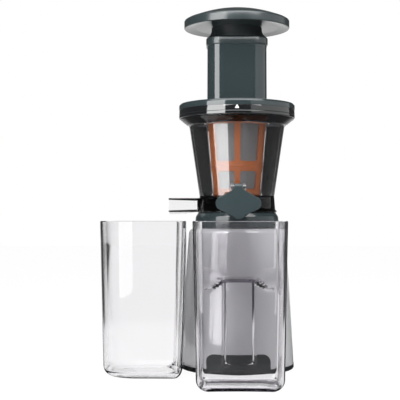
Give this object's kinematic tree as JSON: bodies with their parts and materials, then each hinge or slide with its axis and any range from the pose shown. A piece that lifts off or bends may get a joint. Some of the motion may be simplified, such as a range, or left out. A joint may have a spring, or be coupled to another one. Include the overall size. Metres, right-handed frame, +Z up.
{
  "type": "cold press juicer",
  "caption": "Upright slow juicer: round power unit, smoky bowl with strainer, wiper and scroll, lid with wide feed tube and pusher, and two clear jugs.",
  "frame": {"origin": "on the table, on the tower's axis, at the middle of the rubber foot ring", "axes": "+Z up along the tower; -Y is the front, where the juice runs out; -X is the side of the pulp duct"},
  "size_m": [0.233, 0.2533, 0.4399],
  "materials": {
    "silver_shell": "satin silver",
    "dark_plastic": "gloss dark slate",
    "rubber": "matte",
    "steel": "turned",
    "motor_iron": "laminated",
    "copper": "enamelled wire",
    "alloy": "die cast",
    "gearbox_plastic": "glass filled",
    "gear_nylon": "natural nylon",
    "board": "circuit board",
    "smoky_clear": "clear smoky",
    "orange_plastic": "satin orange",
    "steel_mesh": "fine etched mesh",
    "scroll_plastic": "polished",
    "wiper_plastic": "satin",
    "silicone": "soft silicone",
    "jug_clear": "clear"
  },
  "bodies": {
    "power_unit": {"housing": "silver_shell", "apron": "dark_plastic", "base_plate": "dark_plastic", "foot_ring": "rubber", "base_screws": "steel", "collar": "dark_plastic", "motor_stator": "motor_iron", "motor_winding": "copper", "upper_bell": "alloy", "lower_bell": "alloy", "motor_bearings": "steel", "gearbox_case": "gearbox_plastic", "gearbox_cover": "gearbox_plastic", "cover_screws": "steel", "gear_pins": "steel", "drive_bearing": "steel", "drive_seal": "rubber", "circuit_board": "board", "capacitor": "gearbox_plastic", "switch_bezel": "dark_plastic", "cord_gland": "rubber"},
    "rotor": {"rotor_core": "motor_iron", "rotor_shaft": "steel", "fan": "gearbox_plastic"},
    "first_reduction": {"first_gear": "gear_nylon"},
    "second_reduction": {"second_gear": "gear_nylon"},
    "drive": {"output_gear": "steel", "drive_shaft": "steel"},
    "switch": {"switch_rocker": "dark_plastic"},
    "juicing_bowl": {"bowl": "smoky_clear", "pulp_spout": "smoky_clear", "juice_neck": "smoky_clear", "bowl_seal": "silicone", "idler_pins": "steel", "strainer_frame": "orange_plastic", "strainer_mesh": "steel_mesh", "hinge_pin": "steel"},
    "scroll": {"scroll": "scroll_plastic", "scroll_gear": "steel"},
    "idler_front": {"idler_front": "gear_nylon"},
    "idler_rear": {"idler_rear": "gear_nylon"},
    "wiper": {"wiper": "wiper_plastic", "wiper_lips": "silicone"},
    "drip_stop": {"drip_stop": "dark_plastic", "drip_seal": "silicone"},
    "lid_ring": {"lid_seal": "silicone"},
    "lid": {"lid": "dark_plastic"},
    "pusher": {"pusher": "dark_plastic", "pusher_base": "dark_plastic"},
    "juice_jug": {"juice_jug": "jug_clear"},
    "pulp_jug": {"pulp_jug": "jug_clear"}
  },
  "joints": [
    {"name": "rotor_spin", "type": "hinge", "parent": "power_unit", "child": "rotor", "pos_m": [0, 0, 0.09], "axis": [0, 0, 1], "continuous": true},
    {"name": "first_gear_spin", "type": "hinge", "parent": "power_unit", "child": "first_reduction", "pos_m": [-0.00499, -0.02225, 0.13], "axis": [0, 0, 1], "continuous": true},
    {"name": "second_gear_spin", "type": "hinge", "parent": "power_unit", "child": "second_reduction", "pos_m": [-0.02631, -0.00958, 0.14], "axis": [0, 0, 1], "continuous": true},
    {"name": "shaft_spin", "type": "hinge", "parent": "power_unit", "child": "drive", "pos_m": [0, 0, 0.16], "axis": [0, 0, 1], "continuous": true},
    {"name": "switch_rock", "type": "hinge", "parent": "power_unit", "child": "switch", "pos_m": [0, 0.06301, 0.06], "axis": [1, 0, 0], "range_deg": [-8, 8]},
    {"name": "bowl_lift", "type": "slide", "parent": "power_unit", "child": "juicing_bowl", "axis": [0, 0, 1], "range_m": [0, 0.08]},
    {"name": "scroll_spin", "type": "hinge", "parent": "juicing_bowl", "child": "scroll", "pos_m": [0, 0, 0.21], "axis": [0, 0, 1], "continuous": true},
    {"name": "idler_front_spin", "type": "hinge", "parent": "juicing_bowl", "child": "idler_front", "pos_m": [0, -0.0225, 0.2035], "axis": [0, 0, 1], "continuous": true},
    {"name": "idler_rear_spin", "type": "hinge", "parent": "juicing_bowl", "child": "idler_rear", "pos_m": [0, 0.0225, 0.2035], "axis": [0, 0, 1], "continuous": true},
    {"name": "wiper_spin", "type": "hinge", "parent": "juicing_bowl", "child": "wiper", "pos_m": [0, 0, 0.21], "axis": [0, 0, 1], "continuous": true},
    {"name": "drip_stop_open", "type": "hinge", "parent": "juicing_bowl", "child": "drip_stop", "pos_m": [0, -0.0755, 0.2195], "axis": [-1, 0, 0], "range_deg": [0, 95]},
    {"name": "lid_lift", "type": "slide", "parent": "juicing_bowl", "child": "lid_ring", "axis": [0, 0, 1], "range_m": [0, 0.06]},
    {"name": "lid_turn", "type": "hinge", "parent": "lid_ring", "child": "lid", "pos_m": [0, 0, 0.32], "axis": [0, 0, 1], "range_deg": [0, 24]},
    {"name": "pusher_lift", "type": "slide", "parent": "lid", "child": "pusher", "axis": [0, 0, 1], "range_m": [0, 0.1]},
    {"name": "juice_jug_slide", "type": "slide", "parent": "power_unit", "child": "juice_jug", "axis": [0, -1, 0], "range_m": [0, 0.12]},
    {"name": "pulp_jug_slide", "type": "slide", "parent": "power_unit", "child": "pulp_jug", "axis": [-1, 0, 0], "range_m": [0, 0.12]}
  ],
  "couplings": [
    {"joint": "first_gear_spin", "follows": "rotor_spin", "ratio": -0.26667},
    {"joint": "second_gear_spin", "follows": "rotor_spin", "ratio": 0.064},
    {"joint": "shaft_spin", "follows": "rotor_spin", "ratio": -0.021333},
    {"joint": "scroll_spin", "follows": "rotor_spin", "ratio": -0.021333},
    {"joint": "idler_front_spin", "follows": "rotor_spin", "ratio": 0.032},
    {"joint": "idler_rear_spin", "follows": "rotor_spin", "ratio": 0.032},
    {"joint": "wiper_spin", "follows": "rotor_spin", "ratio": 0.0091429}
  ]
}
